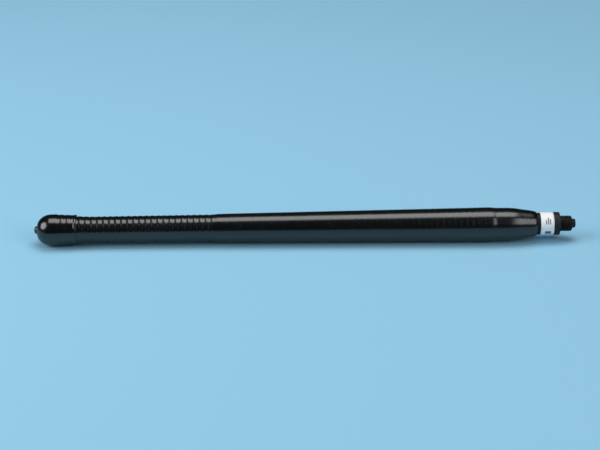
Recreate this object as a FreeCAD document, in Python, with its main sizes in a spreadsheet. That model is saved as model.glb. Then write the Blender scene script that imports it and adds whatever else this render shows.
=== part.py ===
import FreeCAD, Part
import Sketcher
import math
import os

from FreeCAD import Placement, Rotation, Vector

# Flexible helical whip antenna for a hand-held radio, in millimetres.
# The antenna's own axis is X: it starts at the drip nub on the cap and ends at the stud's pilot.
# The whole antenna lies on its cap and on the bulge near its base, with Z up.

doc = FreeCAD.newDocument("WhipAntenna")
sheet = doc.addObject("Spreadsheet::Sheet", "Sizes")

drivingSizes = [
    # dipped cap
    ("nub_length", 1.45),
    ("nub_radius", 1.7),
    ("nub_tip_radius", 0.9),
    ("cap_front_radius", 3.24),
    ("cap_radius", 6.3),
    ("cap_length", 15.4),
    ("cap_land", 2.0),
    ("cap_mouth_radius", 5.88),
    ("cap_lip", 0.18),
    ("cap_end_wall", 1.5),
    ("cap_inner_corner", 2.4),
    # whole whip, from the cap's front to the sleeve's base end
    ("whip_length", 199.4),
    # shrunk sleeve
    ("sleeve_wall", 0.45),
    ("sleeve_tip_radius", 5.16),
    ("sleeve_neck_radius", 5.44),
    ("rib_height", 0.2),
    ("tip_flare", 0.24),
    ("flare_length", 6.5),
    ("ramp_length", 2.5),
    ("sleeve_lip", 0.5),
    ("lip_radius", 4.72),
    # spring coil
    ("wire_side", 0.9),
    ("coil_radius", 4.8),
    ("coil_pitch", 2.39),
    ("coil_sides", 8),
    # moulded tube under the sleeve
    ("tube_length", 112.2),
    ("tube_setback", 18.6),
    ("tube_tip_wall", 0.06),
    ("tube_top_radius", 5.165),
    ("tube_base_radius", 6.38),
    ("tube_end_length", 1.6),
    ("tube_end_drop", 0.12),
    # turned ferrule
    ("ferrule_length", 14.5),
    ("ferrule_radius", 6.1),
    ("shoulder_setback", 12.4),
    ("cone_setback", 6.6),
    ("cone_radius", 5.56),
    ("shoulder_arc", 32.0),
    ("nose_setback", 1.3),
    ("nose_radius", 4.75),
    ("spigot_length", 9.5),
    ("spigot_lead", 0.5),
    ("bore_depth", 12.5),
    # connector
    ("tail_radius", 2.5),
    ("tail_length", 11.0),
    ("shank_radius", 4.4),
    ("shank_length", 6.8),
    ("collar_radius", 4.6),
    ("collar_length", 2.3),
    ("collar_edge", 0.12),
    ("stud_radius", 3.15),
    ("stud_length", 4.3),
    ("lead_length", 1.0),
    ("pilot_radius", 1.78),
    ("pilot_length", 1.2),
    ("pilot_edge", 0.25),
    # paper label
    ("label_width", 5.3),
    ("label_thickness", 0.12),
    ("label_offset", 1.3),
    ("label_lap", 16.0),
    ("label_ramp", 8.0),
    ("label_seam", 205.0),
    # room between pieces that are pushed or shrunk over each other
    ("fit", 0.02),
]

for row, (alias, number) in enumerate(drivingSizes, start=1):
    sheet.set(f"A{row}", alias)
    sheet.set(f"B{row}", str(number))
    sheet.setAlias(f"B{row}", alias)
doc.recompute()


def size(expression):
    # the number that an expression on the driving sizes has now
    return float(sheet.evalExpression(expression.replace("Sizes.", "")))


# Places along the axis, as expressions on the driving sizes
noseCentre = "(Sizes.nub_length + sqrt(Sizes.cap_radius ^ 2 - Sizes.cap_front_radius ^ 2))"
capMouth = "(Sizes.nub_length + Sizes.cap_length)"
base = "(Sizes.nub_length + Sizes.whip_length)"
ferruleEnd = f"({base} - Sizes.sleeve_lip)"
flange = f"({base} - Sizes.ferrule_length)"
tubeBottom = f"({base} - Sizes.tube_setback)"
tubeFoot = f"({tubeBottom} - Sizes.tube_end_length)"
tubeTop = f"({tubeBottom} - Sizes.tube_length)"
coilBase = f"({flange} - Sizes.wire_side / 2)"
capInnerEnd = "(Sizes.nub_length + Sizes.cap_end_wall)"
coilRoom = f"({coilBase} - {capInnerEnd} - Sizes.cap_inner_corner)"
coilTurns = f"floor({coilRoom} / Sizes.coil_pitch)"
coilTip = f"({coilBase} - {coilTurns} * Sizes.coil_pitch)"
collarStart = f"({base} + Sizes.shank_length)"
collarFace = f"({collarStart} + Sizes.collar_length)"
studShoulder = f"({collarFace} + Sizes.stud_length)"
studEnd = f"({studShoulder} + Sizes.lead_length)"
overallEnd = f"({studEnd} + Sizes.pilot_length)"
coilBore = "(Sizes.coil_radius + Sizes.fit)"


def originFeature(body, role):
    return next(item for item in body.Origin.OriginFeatures if item.Role == role)


def arcBetween(start, end, radius):
    # Minor arc from start to end. A positive radius bulges to the left of the way from start to end.
    # Gives the arc, drawn anticlockwise, and which of its ends is the start.
    chord = end - start
    left = Vector(-chord.y, chord.x, 0).normalize()
    half = chord.Length / 2
    depth = math.sqrt(max(radius * radius - half * half, 0.0))
    side = 1 if radius > 0 else -1
    centre = (start + end) * 0.5 - left * (side * depth)
    first, last = (end, start) if side > 0 else (start, end)
    angles = [math.atan2(point.y - centre.y, point.x - centre.x) for point in (first, last)]
    circle = Part.Circle(centre, Vector(0, 0, 1), abs(radius))
    return Part.ArcOfCircle(circle, *angles), 2 if side > 0 else 1


def bindPoint(sketch, geometry, end, place, radius):
    # ties one corner of a section to its place along the axis and its radius
    for kind, axis, expression in (("DistanceX", -2, place), ("DistanceY", -1, radius)):
        if expression == "0":
            sketch.addConstraint(Sketcher.Constraint("PointOnObject", geometry, end, axis))
            continue
        now = size(expression)
        index = sketch.addConstraint(Sketcher.Constraint(kind, -1, 1, geometry, end, now))
        sketch.setExpression(f"Constraints[{index}]", expression)


def turnedBody(label, corners):
    # A turned or moulded round piece: a closed half section spun about the antenna's axis.
    # A corner is (place, radius). A third entry is the radius of the arc that arrives at it,
    # positive for a convex arc, because the section is drawn with its material on the right.
    body = doc.addObject("PartDesign::Body", label)
    body.Label = label
    sketch = body.newObject("Sketcher::SketchObject", label + "_section")
    sketch.AttachmentSupport = [(originFeature(body, "XZ_Plane"), "")]
    sketch.MapMode = "FlatFace"
    points = [Vector(size(corner[0]), size(corner[1]), 0) for corner in corners]
    arrivals = []
    for index, corner in enumerate(corners):
        start, end = points[index - 1], points[index]
        if len(corner) == 2:
            sketch.addGeometry(Part.LineSegment(start, end))
            arrivals.append(1)
            continue
        arc, startPoint = arcBetween(start, end, size(corner[2]))
        sketch.addGeometry(arc)
        arrivals.append(startPoint)
    for index, startPoint in enumerate(arrivals):
        before = index - 1 if index else len(corners) - 1
        endBefore = 3 - arrivals[before]
        sketch.addConstraint(Sketcher.Constraint("Coincident", before, endBefore, index, startPoint))
    for index, corner in enumerate(corners):
        bindPoint(sketch, index, 3 - arrivals[index], corner[0], corner[1])
        if len(corner) == 3:
            radius = sketch.addConstraint(Sketcher.Constraint("Radius", index, abs(size(corner[2]))))
            sketch.setExpression(f"Constraints[{radius}]", f"abs({corner[2]})")
    turned = body.newObject("PartDesign::Revolution", label + "_turned")
    turned.Profile = sketch
    turned.ReferenceAxis = (originFeature(body, "X_Axis"), [""])
    turned.Angle = 360
    sketch.Visibility = False
    doc.recompute()
    return body


def circularEdges(shape, place, radius):
    names = []
    for number, edge in enumerate(shape.Edges, start=1):
        if edge.Degenerated or not isinstance(edge.Curve, Part.Circle):
            continue
        if abs(edge.Curve.Radius - radius) < 1e-4 and abs(edge.Curve.Center.x - place) < 1e-4:
            names.append(f"Edge{number}")
    return names


def dressEdges(body, feature, place, radius, amount):
    # rounds or breaks the circular edges of a turned piece at one place and radius
    last = body.Tip
    names = circularEdges(last.Shape, size(place), size(radius))
    dressed = body.newObject("PartDesign::" + feature, f"{body.Label}_{feature.lower()}")
    dressed.Base = (last, names)
    driven = "Radius" if feature == "Fillet" else "Size"
    dressed.setExpression(driven, amount)
    doc.recompute()


# Shrunk sleeve: one rib over each turn of the coil from the cap down to the tube, then a
# ramp, a long taper over the tube, and the ferrule's shoulder and cone
firstRib = math.ceil((size(capMouth) - size(coilTip)) / size("Sizes.coil_pitch") - 0.5)
lastRib = math.floor((size(tubeTop) - size(coilTip)) / size("Sizes.coil_pitch") - 0.5)
sleeveTip = f"({coilTip} + Sizes.coil_pitch / 2)"
rampTop = f"({coilTip} + ({lastRib} + 0.5) * Sizes.coil_pitch)"
rampFoot = f"({rampTop} + Sizes.ramp_length)"
overPiece = "Sizes.fit + Sizes.sleeve_wall"


def sleeveCrest(place):
    # radius over the turns: a slight taper, and a flare that fades out below the cap's mouth
    along = f"(({place} - {sleeveTip}) / ({rampTop} - {sleeveTip}))"
    flare = f"min(1; max(0; 1 - ({place} - {capMouth}) / Sizes.flare_length))"
    taper = f"(Sizes.sleeve_neck_radius - Sizes.sleeve_tip_radius) * {along}"
    return f"(Sizes.sleeve_tip_radius + {taper} + Sizes.tip_flare * {flare})"


def ribFlanks(turn):
    # crest over a turn of the coil, then the valley halfway to the next turn
    crest = f"({coilTip} + {turn} * Sizes.coil_pitch)"
    valley = f"({coilTip} + ({turn} + 0.5) * Sizes.coil_pitch)"
    return [
        (crest, sleeveCrest(crest)),
        (valley, f"{sleeveCrest(valley)} - Sizes.rib_height"),
    ]


firstValley = f"({coilTip} + ({firstRib} - 0.5) * Sizes.coil_pitch)"
sleeveCorners = [
    (sleeveTip, f"{sleeveCrest(sleeveTip)} - Sizes.rib_height"),
    (firstValley, f"{sleeveCrest(firstValley)} - Sizes.rib_height"),
]
for turn in range(firstRib, lastRib + 1):
    sleeveCorners += ribFlanks(turn)
sleeveCorners += [
    (rampFoot, f"Sizes.tube_top_radius + {overPiece}"),
    (tubeFoot, f"Sizes.tube_base_radius + {overPiece}"),
    (f"{flange} + Sizes.sleeve_wall", f"Sizes.ferrule_radius + {overPiece}"),
    (f"{base} - Sizes.shoulder_setback", f"Sizes.ferrule_radius + {overPiece}"),
    (f"{base} - Sizes.cone_setback", f"Sizes.cone_radius + {overPiece}", "Sizes.shoulder_arc"),
    (f"{base} - Sizes.nose_setback", f"Sizes.nose_radius + {overPiece}"),
    (base, "Sizes.lip_radius"),
    (base, "Sizes.shank_radius + Sizes.fit"),
    (f"{ferruleEnd} + Sizes.fit", "Sizes.shank_radius + Sizes.fit"),
    (f"{base} - Sizes.nose_setback", "Sizes.nose_radius + Sizes.fit"),
    (f"{base} - Sizes.cone_setback", "Sizes.cone_radius + Sizes.fit"),
    (f"{base} - Sizes.shoulder_setback", "Sizes.ferrule_radius + Sizes.fit"),
    (flange, "Sizes.ferrule_radius + Sizes.fit"),
    (tubeFoot, "Sizes.tube_base_radius + Sizes.fit"),
    (rampFoot, "Sizes.tube_top_radius + Sizes.fit"),
    (rampTop, "Sizes.coil_radius + Sizes.tube_tip_wall + Sizes.fit"),
    (rampTop, coilBore),
    (sleeveTip, coilBore),
]
outerSleeve = turnedBody("outer_sleeve", sleeveCorners)

# Dipped cap: thick at the closed end, thinner towards the open mouth, with the nub where
# the last of the dip ran off
capBore = f"({sleeveCrest(capMouth)} + Sizes.fit)"
domeStart = "asin(Sizes.cap_front_radius / Sizes.cap_radius)"


def domeCorner(share):
    # a corner on the cap's round front, at a share in hundredths of its arc
    angle = f"({domeStart} + (90 deg - {domeStart}) * {share} / 100)"
    return f"{noseCentre} - Sizes.cap_radius * cos({angle})", f"Sizes.cap_radius * sin({angle})"


tipCap = turnedBody("tip_cap", [
    ("0", "0"),
    ("0", "Sizes.nub_tip_radius"),
    ("Sizes.nub_length", "Sizes.nub_radius"),
    ("Sizes.nub_length", "Sizes.cap_front_radius"),
    *[domeCorner(share) for share in (25, 50, 75)],
    (noseCentre, "Sizes.cap_radius"),
    (f"{noseCentre} + Sizes.cap_land", "Sizes.cap_radius"),
    (capMouth, "Sizes.cap_mouth_radius"),
    (capMouth, capBore),
    (f"{capInnerEnd} + Sizes.cap_inner_corner", capBore),
    (capInnerEnd, f"{capBore} - Sizes.cap_inner_corner"),
    (capInnerEnd, "0"),
])
dressEdges(tipCap, "Chamfer", capMouth, "Sizes.cap_mouth_radius", "Sizes.cap_lip")

# Moulded tube over the lower coil: thin at the top, where the sleeve ramps up over it,
# and thickest near its bevelled lower end
stiffeningTube = turnedBody("stiffening_tube", [
    (f"{rampTop} + Sizes.fit", coilBore),
    (f"{rampTop} + Sizes.fit", "Sizes.coil_radius + Sizes.tube_tip_wall"),
    (rampFoot, "Sizes.tube_top_radius"),
    (tubeFoot, "Sizes.tube_base_radius"),
    (tubeBottom, "Sizes.tube_base_radius - Sizes.tube_end_drop"),
    (tubeBottom, coilBore),
])

# Turned ferrule: a spigot inside the coil's last turns, a flange that the coil stops
# against, the shoulder and cones that give the base its form, and a bore for the connector
spigotEnd = f"({flange} - Sizes.spigot_length)"
boreEnd = f"({ferruleEnd} - Sizes.bore_depth)"
spigotRadius = "((Sizes.coil_radius - Sizes.wire_side) * cos(180 / Sizes.coil_sides) - Sizes.fit)"
coilFerrule = turnedBody("coil_ferrule", [
    (spigotEnd, "0"),
    (spigotEnd, spigotRadius),
    (flange, spigotRadius),
    (flange, "Sizes.ferrule_radius"),
    (f"{base} - Sizes.shoulder_setback", "Sizes.ferrule_radius"),
    (f"{base} - Sizes.cone_setback", "Sizes.cone_radius"),
    (f"{base} - Sizes.nose_setback", "Sizes.nose_radius"),
    (ferruleEnd, "Sizes.shank_radius"),
    (ferruleEnd, "Sizes.tail_radius + Sizes.fit"),
    (boreEnd, "Sizes.tail_radius + Sizes.fit"),
    (boreEnd, "0"),
])
dressEdges(coilFerrule, "Chamfer", spigotEnd, spigotRadius, "Sizes.spigot_lead")

# Turned connector: tail in the ferrule, shank under the label, collar, stud and pilot
connectorStud = turnedBody("connector_stud", [
    (f"{ferruleEnd} - Sizes.tail_length", "0"),
    (f"{ferruleEnd} - Sizes.tail_length", "Sizes.tail_radius"),
    (ferruleEnd, "Sizes.tail_radius"),
    (ferruleEnd, "Sizes.shank_radius"),
    (collarStart, "Sizes.shank_radius"),
    (collarStart, "Sizes.collar_radius"),
    (collarFace, "Sizes.collar_radius"),
    (collarFace, "Sizes.stud_radius"),
    (studShoulder, "Sizes.stud_radius"),
    (studEnd, "Sizes.pilot_radius"),
    (overallEnd, "Sizes.pilot_radius"),
    (overallEnd, "0"),
])
for place in (collarStart, collarFace):
    dressEdges(connectorStud, "Chamfer", place, "Sizes.collar_radius", "Sizes.collar_edge")
dressEdges(connectorStud, "Chamfer", overallEnd, "Sizes.pilot_radius", "Sizes.pilot_edge")


def plainShape(label, shape):
    feature = doc.addObject("Part::Feature", label)
    feature.Label = label
    feature.Shape = shape
    return feature


# Spring coil: right-handed, and each turn crosses the top of the antenna under a rib.
# Its wire is drawn square and each turn as straight runs whose corners touch the sleeve.
coilSides = int(size("Sizes.coil_sides"))
coilSteps = round(size(coilTurns)) * coilSides


def wireSection(step):
    angle = 2 * math.pi * step / coilSides
    centre = size(f"{coilTip} + Sizes.coil_pitch * {step} / Sizes.coil_sides")
    half = size("Sizes.wire_side / 2")
    outside = size("Sizes.coil_radius")
    inside = outside - 2 * half
    corners = []
    for along, radius in ((-half, inside), (half, inside), (half, outside), (-half, outside)):
        corners.append(Vector(centre + along, -radius * math.sin(angle), radius * math.cos(angle)))
    return Part.makePolygon(corners + corners[:1])


coilSections = [wireSection(step) for step in range(coilSteps + 1)]
radiatingCoil = plainShape("radiating_coil", Part.makeLoft(coilSections, True, True))


# Paper label: one wrap round the shank whose end climbs over its own start
def onShank(radius, degrees):
    angle = math.radians(size("Sizes.label_seam") + degrees)
    start = size(f"{base} + Sizes.label_offset")
    return Vector(start, radius * math.cos(angle), radius * math.sin(angle))


def wrapFace(radius):
    # one face of the paper: round the shank, up the ramp, and along the lap
    thickness = size("Sizes.label_thickness") + size("Sizes.fit")
    ramp = 360 - size("Sizes.label_ramp")
    lap = 360 + size("Sizes.label_lap")
    return [
        Part.Arc(onShank(radius, 0), onShank(radius, ramp / 2), onShank(radius, ramp)).toShape(),
        Part.LineSegment(onShank(radius, ramp), onShank(radius + thickness, 360)).toShape(),
        Part.Arc(
            onShank(radius + thickness, 360),
            onShank(radius + thickness, (360 + lap) / 2),
            onShank(radius + thickness, lap),
        ).toShape(),
    ]


paperInside = size("Sizes.shank_radius + Sizes.fit")
paperOutside = paperInside + size("Sizes.label_thickness")
inner = wrapFace(paperInside)
outer = wrapFace(paperOutside)
ends = [
    Part.LineSegment(inner[0].firstVertex().Point, outer[0].firstVertex().Point).toShape(),
    Part.LineSegment(inner[-1].lastVertex().Point, outer[-1].lastVertex().Point).toShape(),
]
wrap = Part.Face(Part.Wire(Part.__sortEdges__(inner + outer + ends)))
labelBand = plainShape("label_band", wrap.extrude(Vector(size("Sizes.label_width"), 0, 0)))

# The antenna lies on its cap and on the bulge, so its axis climbs a little towards the stud
bulge = size(tubeFoot)
bulgeRadius = size(f"Sizes.tube_base_radius + {overPiece}")
capRest = size(noseCentre)
capRadius = size("Sizes.cap_radius")
climb = math.atan2(bulgeRadius - capRadius, bulge - capRest)
lowEnd = -size("Sizes.nub_tip_radius") * math.sin(climb)
highEnd = size(overallEnd) * math.cos(climb) + size("Sizes.pilot_radius") * math.sin(climb)
lying = Placement(
    Vector(-(lowEnd + highEnd) / 2, 0, capRadius * math.cos(climb) - capRest * math.sin(climb)),
    Rotation(Vector(0, 1, 0), -math.degrees(climb)),
)
subParts = [
    tipCap, outerSleeve, stiffeningTube, radiatingCoil, coilFerrule, connectorStud, labelBand,
]
for subPart in subParts:
    subPart.Placement = lying
doc.recompute()

for item in doc.Objects:
    if "Invalid" in item.State or "Error" in item.State:
        raise RuntimeError(f"{item.Label} is not built")
for subPart in subParts:
    shape = subPart.Shape
    if shape.isNull() or not shape.isValid() or len(shape.Solids) != 1:
        raise RuntimeError(f"{subPart.Label} is not one valid solid")

os.makedirs("parts", exist_ok=True)
for subPart in subParts:
    subPart.Shape.exportStep(f"parts/{subPart.Label}.step")
    box = subPart.Shape.BoundBox
    print(subPart.Label, "length", round(box.XLength, 2), "volume", round(subPart.Shape.Volume, 2))
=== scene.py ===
import math

import bmesh
import bpy
from mathutils import Matrix, Vector


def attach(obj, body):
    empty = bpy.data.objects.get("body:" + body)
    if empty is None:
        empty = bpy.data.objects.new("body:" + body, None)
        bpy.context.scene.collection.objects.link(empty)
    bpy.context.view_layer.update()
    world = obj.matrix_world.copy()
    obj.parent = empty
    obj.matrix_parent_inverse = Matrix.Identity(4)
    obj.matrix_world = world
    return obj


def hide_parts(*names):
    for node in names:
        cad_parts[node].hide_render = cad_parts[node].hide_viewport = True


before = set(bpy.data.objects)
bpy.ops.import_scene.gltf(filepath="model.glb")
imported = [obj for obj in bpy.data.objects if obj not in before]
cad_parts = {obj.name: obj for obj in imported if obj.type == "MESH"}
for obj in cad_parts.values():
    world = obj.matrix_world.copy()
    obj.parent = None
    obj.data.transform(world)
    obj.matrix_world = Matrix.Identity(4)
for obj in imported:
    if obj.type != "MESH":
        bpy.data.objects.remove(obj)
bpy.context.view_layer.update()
mm = 0.001
mergeDistance = 0.0000005

# shader helper


class Wire:
    # a shader socket that takes part in sums
    def __init__(self, tree, socket):
        self.tree = tree
        self.socket = socket

    def join(self, operation, *others):
        node = self.tree.nodes.new("ShaderNodeMath")
        node.operation = operation
        for place, other in zip(node.inputs, (self, *others)):
            if isinstance(other, Wire):
                self.tree.links.new(other.socket, place)
            else:
                place.default_value = other
        return Wire(self.tree, node.outputs[0])

    def __add__(self, other):
        return self.join("ADD", other)

    __radd__ = __add__

    def __mul__(self, other):
        return self.join("MULTIPLY", other)

    __rmul__ = __mul__

    def __sub__(self, other):
        return self.join("SUBTRACT", other)

    def __rsub__(self, other):
        return self * -1.0 + other


class Finish:
    # a material, or the world, and the nodes in it
    def __init__(self, owner, shader="Principled BSDF"):
        owner.use_nodes = True
        self.owner = owner
        self.tree = owner.node_tree
        self.shader = self.tree.nodes[shader]

    def node(self, kind, settings=None, output=0, **sockets):
        node = self.tree.nodes.new("ShaderNode" + kind)
        for key, value in (settings or {}).items():
            setattr(node, key, value)
        for key, value in sockets.items():
            # i6 means the node's input number 6, any other key is the input's name
            place = node.inputs[int(key[1:]) if key[1:].isdigit() else key]
            if isinstance(value, Wire):
                self.tree.links.new(value.socket, place)
            else:
                place.default_value = value
        return Wire(self.tree, node.outputs[output])

    def feed(self, name, value):
        place = self.shader.inputs[name]
        if isinstance(value, Wire):
            self.tree.links.new(value.socket, place)
        else:
            place.default_value = value

    def objectPlace(self, shift=(0.0, 0.0, 0.0), scale=(1.0, 1.0, 1.0)):
        place = self.node("TexCoord", output="Object")
        return self.node("Mapping", Vector=place, Location=shift, Scale=scale)

    def axis(self, place, letter):
        return self.node("SeparateXYZ", output=letter, Vector=place)

    def noise(self, place, scale, detail, roughness=0.5):
        return self.node(
            "TexNoise", Vector=place, Scale=scale, Detail=detail, Roughness=roughness)

    def blend(self, share, first, second):
        # a Mix node's colours are its inputs 6 and 7 and its output 2
        settings = {"data_type": "RGBA"}
        return self.node("Mix", settings, output=2, i0=share, i6=first, i7=second)

    def bump(self, height, strength, distance):
        return self.node("Bump", Height=height, Strength=strength, Distance=distance)


def newFinish(name):
    return Finish(bpy.data.materials.new(name))


def step(value, low, high):
    # 0 below low, 1 above high
    share = (value - low).join("DIVIDE", high - low)
    return share.join("MAXIMUM", 0.0).join("MINIMUM", 1.0)


def between(value, low, high, edge):
    # 1 from low to high, with soft edges
    return step(value, low, low + edge) * (1.0 - step(value, high, high + edge))


def toned(colour, factor):
    # the same colour lighter or darker, for a blend
    return tuple(part * factor for part in colour) + (1.0,)


# where the antenna lies: sizes in millimetres and degrees, places along it from the cap's tip

whole = {
    "capRadius": 6.3,
    "frontRadius": 3.24,
    "nubLength": 1.45,
    "bulgeRadius": 6.85,
    "bulgePlace": 180.65,
    "overall": 216.45,
    "nubTip": 0.9,
    "pilotRadius": 1.78,
}
capRest = whole["nubLength"] + math.sqrt(whole["capRadius"] ** 2 - whole["frontRadius"] ** 2)
climb = math.atan2(
    whole["bulgeRadius"] - whole["capRadius"], whole["bulgePlace"] - capRest)
lowEnd = -whole["nubTip"] * math.sin(climb)
highEnd = whole["overall"] * math.cos(climb) + whole["pilotRadius"] * math.sin(climb)
lying = Matrix.Translation((
    -(lowEnd + highEnd) / 2 * mm,
    0.0,
    (whole["capRadius"] * math.cos(climb) - capRest * math.sin(climb)) * mm,
)) @ Matrix.Rotation(-climb, 4, "Y")


def layDown(work):
    bmesh.ops.transform(work, matrix=lying, verts=work.verts)


def finishPiece(work, name, finish, stands=(), angle=None):
    # turns the worked mesh into a piece in its place; edges past the angle stay sharp
    bmesh.ops.remove_doubles(work, verts=work.verts, dist=mergeDistance)
    bmesh.ops.recalc_face_normals(work, faces=work.faces)
    layDown(work)
    for face in work.faces:
        face.smooth = True
    if angle is not None:
        for edge in work.edges:
            if len(edge.link_faces) == 2 and edge.calc_face_angle() > math.radians(angle):
                edge.smooth = False
    mesh = bpy.data.meshes.new(name)
    work.to_mesh(mesh)
    work.free()
    mesh.materials.append(finish.owner)
    piece = bpy.data.objects.new(name, mesh)
    bpy.context.scene.collection.objects.link(piece)
    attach(piece, "root")
    for node in stands:
        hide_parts(node)
    return piece


def spunProfile(work, corners, around):
    # lathe: a half section of (place, radius) spun about the antenna's own axis
    points = [work.verts.new((place * mm, 0.0, radius * mm)) for place, radius in corners]
    edges = [work.edges.new(pair) for pair in zip(points, points[1:])]
    bmesh.ops.spin(
        work, geom=points + edges, cent=(0, 0, 0), axis=(1, 0, 0), dvec=(0, 0, 0),
        angle=2 * math.pi, steps=around, use_merge=True, use_duplicate=False)


def arcPoints(centre, radius, start, end, count):
    # points on an arc in the half section, angles in degrees from the stud's direction
    points = []
    for number in range(count + 1):
        angle = math.radians(start + (end - start) * number / count)
        points.append((centre[0] + radius * math.cos(angle), centre[1] + radius * math.sin(angle)))
    return points


def stepped(start, end, count):
    # straight line cut into equal parts, without its first point
    return [
        (start[0] + (end[0] - start[0]) * n / count, start[1] + (end[1] - start[1]) * n / count)
        for n in range(1, count + 1)
    ]


# materials

print("materials")

# places and heights on the finishes are in metres, as Object coordinates are
looks = {
    "capColour": (0.0022, 0.0032, 0.0036),
    "capRoughness": 0.16,
    "sleeveColour": (0.0018, 0.0028, 0.0032),
    "sleeveRoughness": 0.185,
    "glossIndex": 1.66,
    "dust": 0.05,
    "studColour": (0.006, 0.006, 0.0065),
    "studRoughness": 0.46,
    "studToolLines": 0.8,
    "wornFrom": 0.0993,  # the collar, along the antenna
    "wornTo": 0.1017,
    "wornColour": (0.024, 0.024, 0.026),
    "rubberColour": (0.020, 0.020, 0.020),
    "rubberRoughness": 0.75,
    "mattSpecular": 0.2,
    "steelColour": (0.55, 0.54, 0.52),
    "steelRoughness": 0.18,
    "brassColour": (0.72, 0.52, 0.22),
    "brassRoughness": 0.16,
    "paperColour": (0.90, 0.905, 0.91),
    "paperShade": (0.82, 0.84, 0.86),
    "inkColour": (0.02, 0.022, 0.025),
    "paperHeight": 0.00691,  # height of the label's axis over the floor
    # each bar: from and to along the antenna, then in degrees up from facing the camera
    "bars": (
        (0.0958, 0.0962, 22.0, 44.0), (0.0966, 0.0970, 22.0, 58.0), (0.0974, 0.0978, 22.0, 50.0),
        (0.0956, 0.0980, -34.0, -16.0),
    ),
}


def glossBlack(name, colour, roughness):
    # glossy black plastic: faint mottle, orange peel, fine rubs and a little dust
    finish = newFinish(name)
    place = finish.objectPlace()
    cloud = finish.noise(place, 90.0, 4.0, 0.6)
    peel = finish.noise(place, 900.0, 2.0, 0.5)
    along = finish.objectPlace(scale=(1.0, 9.0, 9.0))
    rubs = finish.noise(along, 260.0, 6.0, 0.7)
    specks = finish.noise(place, 2600.0, 1.0, 0.5)
    speckMask = step(specks, 0.66, 0.72) * step(cloud, 0.4, 0.6)
    finish.feed("Base Color", finish.blend(
        speckMask * looks["dust"] + step(cloud, 0.3, 0.8) * 0.25, (*colour, 1.0),
        (colour[0] * 2.0 + 0.003, colour[1] * 2.0 + 0.003, colour[2] * 2.0 + 0.0035, 1.0)))
    finish.feed("Roughness", step(rubs, 0.35, 0.8) * 0.10 + speckMask * 0.25 + roughness)
    height = cloud * 0.5 + peel * 0.12 + rubs * 0.06
    finish.feed("Normal", finish.bump(height, 0.22, 0.00012))
    finish.feed("IOR", looks["glossIndex"])
    return finish


capFinish = glossBlack("capVinyl", looks["capColour"], looks["capRoughness"])
sleeveFinish = glossBlack("sleevePlastic", looks["sleeveColour"], looks["sleeveRoughness"])


def mattBlack(name, colour, roughness, toolLines=0.0, worn=False):
    # matt black: fine grain, tool lines where it is turned, and a greyer worn stretch
    finish = newFinish(name)
    place = finish.objectPlace()
    grain = finish.noise(place, 2400.0, 3.0, 0.6)
    cloud = finish.noise(place, 220.0, 4.0, 0.6)
    lines = finish.noise(finish.objectPlace(scale=(60.0, 0.2, 0.2)), 160.0, 3.0, 0.6)
    paint = finish.blend(step(cloud, 0.3, 0.75), (*colour, 1.0), toned(colour, 1.7))
    if worn:
        along = finish.axis(finish.objectPlace(), "X")
        stretch = between(along, looks["wornFrom"], looks["wornTo"], 0.0001)
        paint = finish.blend(
            stretch * (grain * 0.4 + 0.6), paint, (*looks["wornColour"], 1.0))
    finish.feed("Base Color", paint)
    finish.feed("Roughness", grain * 0.15 + cloud * 0.1 + (roughness - 0.12))
    finish.feed("Normal", finish.bump(grain * 0.5 + lines * toolLines, 0.35, 0.00008))
    finish.feed("Specular IOR Level", looks["mattSpecular"])
    return finish


studFinish = mattBlack(
    "studBlack", looks["studColour"], looks["studRoughness"], looks["studToolLines"], True)
rubberFinish = mattBlack("tubeRubber", looks["rubberColour"], looks["rubberRoughness"])


def bareMetal(name, colour, roughness):
    # bare turned or drawn metal: lathe lines across the axis and a little tarnish
    finish = newFinish(name)
    place = finish.objectPlace()
    tarnish = finish.noise(place, 160.0, 4.0, 0.65)
    lines = finish.noise(finish.objectPlace(scale=(40.0, 0.3, 0.3)), 180.0, 3.0, 0.6)
    finish.feed("Base Color", finish.blend(
        step(tarnish, 0.4, 0.8) * 0.5, (*colour, 1.0), toned(colour, 0.55)))
    finish.feed("Metallic", 1.0)
    finish.feed("Roughness", tarnish * 0.2 + lines * 0.1 + roughness)
    finish.feed("Normal", finish.bump(lines, 0.3, 0.00005))
    return finish


steelFinish = bareMetal("coilSteel", looks["steelColour"], looks["steelRoughness"])
brassFinish = bareMetal("ferruleBrass", looks["brassColour"], looks["brassRoughness"])


def coatedPaper(name):
    # white coated paper: soft fibre mottle, slight ripples and a few plain bars
    finish = newFinish(name)
    place = finish.objectPlace()
    fibre = finish.noise(place, 1400.0, 5.0, 0.65)
    cloud = finish.noise(place, 180.0, 3.0, 0.5)
    white = finish.blend(
        step(fibre * 0.5 + cloud * 0.5, 0.35, 0.7) * 0.6,
        (*looks["paperColour"], 1.0), (*looks["paperShade"], 1.0))
    centred = finish.objectPlace(shift=(0.0, 0.0, -looks["paperHeight"]))
    along, across, up = (finish.axis(centred, letter) for letter in "XYZ")
    angle = up.join("ARCTAN2", across * -1.0) * (180 / math.pi)
    ink = None
    for start, end, low, high in looks["bars"]:
        bar = between(along, start, end, 0.00006) * between(angle, low, high, 0.8)
        ink = bar if ink is None else ink + bar
    finish.feed("Base Color", finish.blend(
        ink * (fibre * 0.3 + 0.75).join("MINIMUM", 1.0), white, (*looks["inkColour"], 1.0)))
    finish.feed("Roughness", fibre * 0.2 + 0.35)
    finish.feed("Normal", finish.bump(fibre * 0.4 + cloud, 0.25, 0.00006))
    return finish


paperFinish = coatedPaper("labelPaper")

# the nodes of the frame wear the same finishes as the pieces
for nodeName, finish in (
    ("tip_cap", capFinish), ("outer_sleeve", sleeveFinish), ("stiffening_tube", rubberFinish),
    ("radiating_coil", steelFinish), ("coil_ferrule", brassFinish),
    ("connector_stud", studFinish), ("label_band", paperFinish),
):
    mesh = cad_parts[nodeName].data
    mesh.materials.clear()
    mesh.materials.append(finish.owner)

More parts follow.
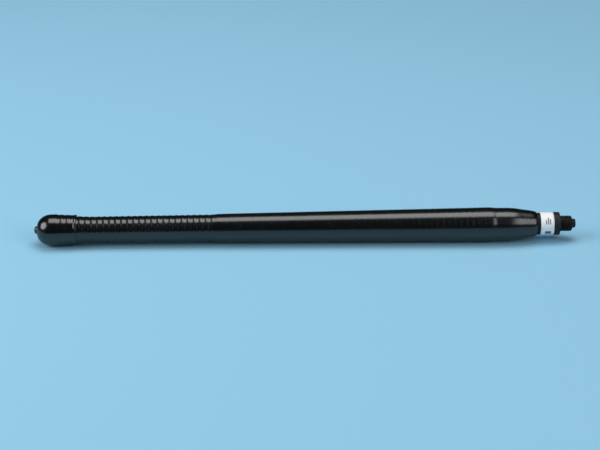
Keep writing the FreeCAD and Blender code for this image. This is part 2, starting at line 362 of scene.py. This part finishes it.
# sleeve

print("sleeve")

sleeve = {
    "base": 200.85,
    "pitch": 2.39,
    "coilTip": 6.65,
    "crestAtTip": 5.16,
    "crestAtNeck": 5.44,
    "ribHeight": 0.175,
    "ribRoundness": 0.9,
    "ribFadeEarly": 0.8,
    "traceAtRamp": 0.0209,
    "traceAtFoot": 0.0551,
    "traceStop": 1.5,  # how far before the foot the trace has gone
    "traceFade": 3.0,
    "tipFlare": 0.24,
    "flareLength": 6.5,
    "capMouth": 16.85,
    "ribStart": 7.845,
    "rampStart": 71.2,
    "rampEnd": 73.7,
    "rampEase": 0.4,
    "topRadius": 5.635,
    "footPlace": whole["bulgePlace"],
    "footRadius": whole["bulgeRadius"],
    "shoulderPlace": 188.45,
    "shoulderRadius": 6.57,
    "shoulderArc": 31.4,
    "shoulderTurn": 10.65,
    "coneEndRadius": 5.22,
    "shankRadius": 4.42,
    "boreAtFoot": 6.42,
    "boreAtTubeTop": 5.2,
    "tubeTop": 72.485,
    "boreStep": 69.985,
    "boreInNeck": 4.84,
    "ringsPerRib": 14,
    "ringsPerTrace": 8,
    "around": 112,
}


def smoothShare(value):
    value = min(1.0, max(0.0, value))
    return value * value * (3 - 2 * value)


def sleeveOutside(place):
    # radius of the sleeve's outside with no ribs
    s = sleeve
    flare = smoothShare(1 - (place - s["capMouth"]) / s["flareLength"]) * s["tipFlare"]
    neck = s["crestAtTip"] + (s["crestAtNeck"] - s["crestAtTip"]) * (
        (place - s["ribStart"]) / (s["rampStart"] - s["ribStart"])) + flare
    tube = s["topRadius"] + (s["footRadius"] - s["topRadius"]) * (
        (place - s["rampEnd"]) / (s["footPlace"] - s["rampEnd"]))
    share = smoothShare((place - s["rampStart"] + s["rampEase"]) / (
        s["rampEnd"] - s["rampStart"] + 2 * s["rampEase"]))
    return neck + (tube - neck) * share


def ribDepth(place):
    # full up to the ramp, then the coil's faint trace through the tube
    s = sleeve
    fade = smoothShare((place - s["rampStart"] + s["ribFadeEarly"]) / (
        s["rampEnd"] - s["rampStart"]))
    thick = max(0.0, (place - s["rampEnd"]) / (s["footPlace"] - s["rampEnd"]))
    trace = s["traceAtRamp"] + (s["traceAtFoot"] - s["traceAtRamp"]) * thick
    edge = smoothShare((s["footPlace"] - s["traceStop"] - place) / s["traceFade"])
    return s["ribHeight"] * (1 - fade) + trace * fade * edge


def coilWave(place, across, up):
    # 0 on the wire's crest and 1 midway between two crests
    turn = math.atan2(-across, up) / (2 * math.pi)  # 0 at the top, growing towards the camera
    phase = (place - sleeve["coilTip"]) / sleeve["pitch"] - turn
    return 0.5 - 0.5 * math.cos(2 * math.pi * phase)


def makeSleeve():
    s = sleeve
    places = [s["ribStart"]]
    while places[-1] < s["footPlace"] - 0.4:
        rings = s["ringsPerRib"] if places[-1] < s["rampEnd"] else s["ringsPerTrace"]
        places.append(places[-1] + s["pitch"] / rings)
    places.append(s["footPlace"])
    outside = [(place, sleeveOutside(place)) for place in places]
    base, arc = s["base"], s["shoulderArc"]
    tubeFoot = [(s["footPlace"] + past, s["footRadius"] - drop) for past, drop in (
        (0.65, 0.0), (1.45, 0.01), (1.95, 0.03), (2.45, 0.075), (3.0, 0.16), (3.55, 0.23),
        (4.1, 0.255), (4.75, 0.26), (5.75, 0.27))]
    shoulder = arcPoints((s["shoulderPlace"], s["shoulderRadius"] - arc), arc,
                         90, 90 - s["shoulderTurn"], 8)
    cone = stepped(shoulder[-1], (base - 1.3, s["coneEndRadius"]), 6)
    lip = [(base - 0.9, 5.08), (base - 0.5, 4.93), (base - 0.18, 4.79), (base, 4.6)]
    mouth = [(base, s["shankRadius"]), (base - 0.45, s["shankRadius"])]
    inside = [
        (base - 1.3, 4.79), (base - 6.6, 5.6), (base - 12.4, 6.14), (base - 14.5, 6.14),
        (s["footPlace"], s["boreAtFoot"]), (s["tubeTop"], s["boreAtTubeTop"]),
        (s["boreStep"], s["boreInNeck"] + 0.06), (s["boreStep"], s["boreInNeck"]),
        (s["ribStart"], s["boreInNeck"]),
    ]
    work = bmesh.new()
    spunProfile(work, outside + tubeFoot + shoulder + cone + lip + mouth + inside + outside[:1],
                s["around"])
    for vert in work.verts:
        place, across, up = (value / mm for value in vert.co)
        radius = math.hypot(across, up)
        if place > s["footPlace"] or radius < sleeveOutside(place) - 0.2:
            continue
        drop = ribDepth(place) * coilWave(place, across, up) ** s["ribRoundness"]
        vert.co.y *= (radius - drop) / radius
        vert.co.z *= (radius - drop) / radius
    return finishPiece(work, "sleeve_shrunk", sleeveFinish,
                       ("outer_sleeve",), angle=45)


makeSleeve()

# cap

print("cap")

cap = {
    "radius": whole["capRadius"],
    "domeCentre": capRest,
    "domeStart": 33.5,
    "land": 2.0,
    "mouth": 17.1,
    "mouthRadius": 5.88,
    "bore": 5.46,
    "endInside": 2.95,
    "around": 128,
    "ribTrace": 0.14,
    "traceStart": 7.5,
    "traceRise": 2.5,
    "traceEnd": 15.7,
    "traceFade": 2.0,
}


def makeCap():
    c = cap
    # drip nub, dome, short cylinder, tapered side and rolled lip
    nub = [(0.0, 0.0), (0.02, 0.45), (0.10, 0.85), (0.26, 1.18), (0.50, 1.44), (0.80, 1.62),
           (1.08, 1.74), (1.26, 1.90), (1.34, 2.15), (1.36, 2.45), (1.39, 2.75), (1.45, 3.05)]
    dome = arcPoints((c["domeCentre"], 0.0), c["radius"], 180 - c["domeStart"], 90, 26)
    land = stepped(dome[-1], (c["domeCentre"] + c["land"], c["radius"]), 6)
    side = stepped(land[-1], (c["mouth"] - 1.32, c["mouthRadius"] + 0.01), 40)
    lip = [(c["mouth"] - back, c["mouthRadius"] + rise) for back, rise in (
        (1.22, 0.00), (1.12, 0.008), (1.02, 0.04), (0.90, 0.092), (0.78, 0.132), (0.64, 0.145),
        (0.42, 0.135), (0.24, 0.105), (0.11, 0.045), (0.04, -0.04), (0.01, -0.15), (0.0, -0.32))]
    inside = [
        (c["mouth"] - 0.02, c["bore"]), (c["mouth"] - 0.6, c["bore"] - 0.005),
        (c["endInside"] + 2.4, c["bore"]), (c["endInside"] + 0.7, c["bore"] - 1.0),
        (c["endInside"], c["bore"] - 2.4), (c["endInside"], 0.0),
    ]
    work = bmesh.new()
    spunProfile(work, nub + dome + land + side + lip + inside, c["around"])
    for vert in work.verts:
        place, across, up = (value / mm for value in vert.co)
        radius = math.hypot(across, up)
        if radius < c["mouthRadius"] - 0.18 or not c["traceStart"] <= place <= c["traceEnd"]:
            continue
        fade = smoothShare((place - c["traceStart"]) / c["traceRise"]) * smoothShare(
            (c["traceEnd"] - place) / c["traceFade"])
        drop = c["ribTrace"] * coilWave(place, across, up) * fade
        vert.co.y *= (radius - drop) / radius
        vert.co.z *= (radius - drop) / radius
    return finishPiece(work, "cap_dipped", capFinish, ("tip_cap",), angle=50)


makeCap()

# connector

print("connector")

stud = {
    "ferruleEnd": 200.35,
    "tailLength": 11.0,
    "tailRadius": 2.5,
    "collarStart": 207.65,
    "collarFace": 209.95,
    "leadStart": 214.3,
    "leadEnd": 215.25,
    "end": whole["overall"],
    "shankRadius": 4.4,
    "collarRadius": 4.6,
    "threadRadius": 3.15,
    "threadDepth": 0.34,
    "threadPitch": 0.794,
    "ridgeFoot": 0.46,  # half widths of the thread's ridge, in pitches
    "ridgeCrest": 0.19,
    "stepsPerTurn": 48,
    "pilotRadius": whole["pilotRadius"],
    "around": 96,
    "lines": 9,  # tool lines round the collar
    "lineDepth": 0.02,
}


def makeStud():
    s = stud
    work = bmesh.new()
    start = s["ferruleEnd"]
    tailEnd, tailRadius = start - s["tailLength"], s["tailRadius"]
    tail = [(tailEnd, 0.0), (tailEnd, tailRadius - 0.1), (tailEnd + 0.1, tailRadius),
            (start, tailRadius), (start, s["shankRadius"] - 0.05),
            (start + 0.05, s["shankRadius"])]
    shank = stepped(tail[-1], (s["collarStart"], s["shankRadius"]), 6)
    collar = [(s["collarStart"] + 0.01, s["collarRadius"] - 0.12)]
    width = (s["collarFace"] - s["collarStart"] - 0.3) / s["lines"]
    for number in range(s["lines"]):
        place = s["collarStart"] + 0.15 + number * width
        collar += [
            (place, s["collarRadius"]), (place + width * 0.72, s["collarRadius"]),
            (place + width * 0.86, s["collarRadius"] - s["lineDepth"]),
        ]
    collar += [(s["collarFace"] - 0.15, s["collarRadius"]),
               (s["collarFace"] - 0.04, s["collarRadius"] - 0.05),
               (s["collarFace"], s["collarRadius"] - 0.14),
               (s["collarFace"], s["threadRadius"] - 0.25)]
    core = s["threadRadius"] - s["threadDepth"]
    body = [(s["collarFace"] + 0.02, core), (s["leadEnd"] - 0.5, core),
            (s["leadEnd"] - 0.2, s["pilotRadius"] + 0.72),
            (s["leadEnd"] - 0.06, s["pilotRadius"] + 0.42)]
    pilot = [
        (s["leadEnd"] - 0.02, s["pilotRadius"] + 0.16), (s["leadEnd"], s["pilotRadius"]),
        (s["end"] - 0.3, s["pilotRadius"]), (s["end"] - 0.12, s["pilotRadius"] - 0.06),
        (s["end"] - 0.03, s["pilotRadius"] - 0.16), (s["end"], s["pilotRadius"] - 0.28),
        (s["end"], 0.0),
    ]
    spunProfile(work, tail + shank + collar + body + pilot, s["around"])
    return finishPiece(work, "connector_turned", studFinish,
                       ("connector_stud",), angle=25)


def makeThread():
    # one right-handed V ridge round the stud, run out over the lead
    s = stud
    work = bmesh.new()
    pitch = s["threadPitch"]
    core = s["threadRadius"] - s["threadDepth"] - 0.05
    turns = (s["leadEnd"] - 0.25 - s["collarFace"] - pitch * 0.55) / pitch
    steps, foot, crest = s["stepsPerTurn"], s["ridgeFoot"], s["ridgeCrest"]
    start = s["collarFace"] + pitch * 0.5
    section = [(-foot, core), (-crest, s["threadRadius"]), (crest, s["threadRadius"]),
               (foot, core)]
    points = [work.verts.new(((start + along * pitch) * mm, 0.0, radius * mm))
              for along, radius in section]
    face = work.faces.new(points)
    total = round(turns * steps)
    bmesh.ops.spin(
        work, geom=[face, *face.edges, *face.verts], cent=(0, 0, 0), axis=(1, 0, 0),
        dvec=(pitch / steps * mm, 0, 0), angle=-2 * math.pi * turns, steps=total,
        use_merge=False, use_duplicate=False)
    for vert in work.verts:
        place, across, up = (value / mm for value in vert.co)
        radius = math.hypot(across, up)
        limit = s["threadRadius"]
        if place > s["leadStart"]:
            share = min(1.0, (place - s["leadStart"]) / (s["leadEnd"] - s["leadStart"]))
            limit -= (s["threadRadius"] - s["pilotRadius"]) * (1 - math.sqrt(1 - share * share))
        if radius > limit:
            vert.co.y *= limit / radius
            vert.co.z *= limit / radius
    return finishPiece(work, "connector_thread", studFinish, angle=25)


makeStud()
makeThread()

# label

print("label")

label = {
    "start": 202.15,
    "width": 5.3,
    "inside": 4.42,
    "thickness": 0.11,
    "seam": 205.0,  # degrees from the side away from the camera, up and over
    "lap": 16.0,
    "ramp": 8.0,
    "wave": 0.015,
    "waves": 5,
    "lift": 0.06,
    "liftLength": 14.0,
    "columns": 8,
    "steps": 188,
}


def makeLabel():
    b = label
    work = bmesh.new()
    total = 360 + b["lap"]
    columns, steps = b["columns"], b["steps"]
    points = [work.verts.new(((b["start"] + b["width"] * n / columns) * mm, b["inside"] * mm, 0.0))
              for n in range(columns + 1)]
    edges = [work.edges.new(pair) for pair in zip(points, points[1:])]
    bmesh.ops.spin(
        work, geom=points + edges, cent=(0, 0, 0), axis=(1, 0, 0), dvec=(0, 0, 0),
        angle=math.radians(total), steps=steps, use_merge=False, use_duplicate=False)
    # the rings come in order, so each one's turn is known from its number
    work.verts.ensure_lookup_table()
    ring = columns + 1
    for number, vert in enumerate(work.verts):
        turn = (number // ring) / steps * total
        place = vert.co.x / mm
        rise = smoothShare((turn - (360 - b["ramp"])) / b["ramp"]) * (b["thickness"] + 0.02)
        near = (place - b["start"]) / b["width"]
        wave = b["wave"] * (0.5 + 0.5 * math.sin(math.radians(turn * b["waves"]) + near * 3))
        free = smoothShare((turn - total) / b["liftLength"] + 1)
        lift = b["lift"] * free * smoothShare(1 - near * 1.6)
        radius = (b["inside"] + rise + wave + lift) * mm
        angle = math.radians(b["seam"] + turn)
        vert.co.y = radius * math.cos(angle)
        vert.co.z = radius * math.sin(angle)
    piece = finishPiece(work, "label_wrap", paperFinish, ("label_band",))
    paper = piece.modifiers.new("thickness", "SOLIDIFY")
    paper.thickness = b["thickness"] * mm
    paper.offset = 1.0
    return piece


makeLabel()

# floor, light and camera

print("stage")

stage = {
    "floorColour": (0.29, 0.57, 0.76),
    "floorReach": 3.0,
    "roomColour": (0.86, 0.92, 0.96),
    "roomLight": 0.12,
    "roomInGloss": 0.02,
    # name, place, width and height, glow, way the height runs, outline
    "softboxes": (
        ("top_box", (0.04, 0.135, 0.885), (0.74, 0.56), 3.55, (0.0, 1.0, 0.0), "RECTANGLE"),
        ("left_box", (-0.70, -0.146, 0.47), (0.62, 0.58), 3.6, (0.0, 0.0, 1.0), "ELLIPSE"),
        ("right_box", (0.545, -0.47, 0.505), (0.42, 0.60), 2.8, (0.0, 0.74, 0.67), "RECTANGLE"),
    ),
    "cameraRise": 27.0,
    "cameraTurn": -1.3,
    "distance": 0.632,
    "lens": 94.8,
    "sensor": 36.0,
    "aim": (-0.0022, 0.0, 0.0074),
}


def makeFloor():
    work = bmesh.new()
    bmesh.ops.create_grid(work, x_segments=2, y_segments=2, size=stage["floorReach"])
    mesh = bpy.data.meshes.new("floor")
    work.to_mesh(mesh)
    work.free()
    floor = bpy.data.objects.new("floor", mesh)
    bpy.context.scene.collection.objects.link(floor)
    finish = newFinish("floorPaper")
    cloud = finish.noise(finish.objectPlace(), 3.0, 2.0)
    colour = stage["floorColour"]
    finish.feed("Base Color", finish.blend(
        step(cloud, 0.3, 0.7) * 0.4, (*colour, 1.0), toned(colour, 0.97)))
    finish.feed("Roughness", 0.9)
    finish.feed("Specular IOR Level", 0.1)
    mesh.materials.append(finish.owner)


def softbox(name, place, size, glow, edge, shape):
    # a lit cloth of even glow, turned to the antenna
    lamp = bpy.data.lights.new(name, "AREA")
    lamp.shape = shape
    lamp.size, lamp.size_y = size
    lamp.energy = glow * math.pi * size[0] * size[1]
    holder = bpy.data.objects.new(name, lamp)
    bpy.context.scene.collection.objects.link(holder)
    away = Vector(place).normalized()
    tall = Vector(edge)
    tall = (tall - away * tall.dot(away)).normalized()
    wide = tall.cross(away)
    turn = Matrix((wide, tall, away)).transposed().to_4x4()
    holder.matrix_world = Matrix.Translation(Vector(place)) @ turn


makeFloor()
for box in stage["softboxes"]:
    softbox(*box)


def makeRoom():
    # even room light that the gloss hardly mirrors, as if the room behind were dark
    room = Finish(bpy.data.worlds.new("room"), "Background")
    room.feed("Color", (*stage["roomColour"], 1.0))
    light, inGloss = stage["roomLight"], stage["roomInGloss"]
    gloss = room.node("LightPath", output="Is Glossy Ray")
    room.feed("Strength", gloss * (inGloss - light) + light)
    bpy.context.scene.world = room.owner


makeRoom()
bpy.context.scene.view_settings.view_transform = "Standard"


def makeCamera():
    s = stage
    camera = bpy.data.objects.new("camera", bpy.data.cameras.new("camera"))
    bpy.context.scene.collection.objects.link(camera)
    camera.data.lens = s["lens"]
    camera.data.sensor_width = s["sensor"]
    rise, turn = math.radians(s["cameraRise"]), math.radians(s["cameraTurn"])
    back = Vector((math.sin(turn) * math.cos(rise), -math.cos(turn) * math.cos(rise),
                   math.sin(rise)))
    camera.location = Vector(s["aim"]) + back * s["distance"]
    camera.rotation_mode = "QUATERNION"
    camera.rotation_quaternion = (-back).to_track_quat("-Z", "Y")
    bpy.context.scene.camera = camera


makeCamera()

print("done")
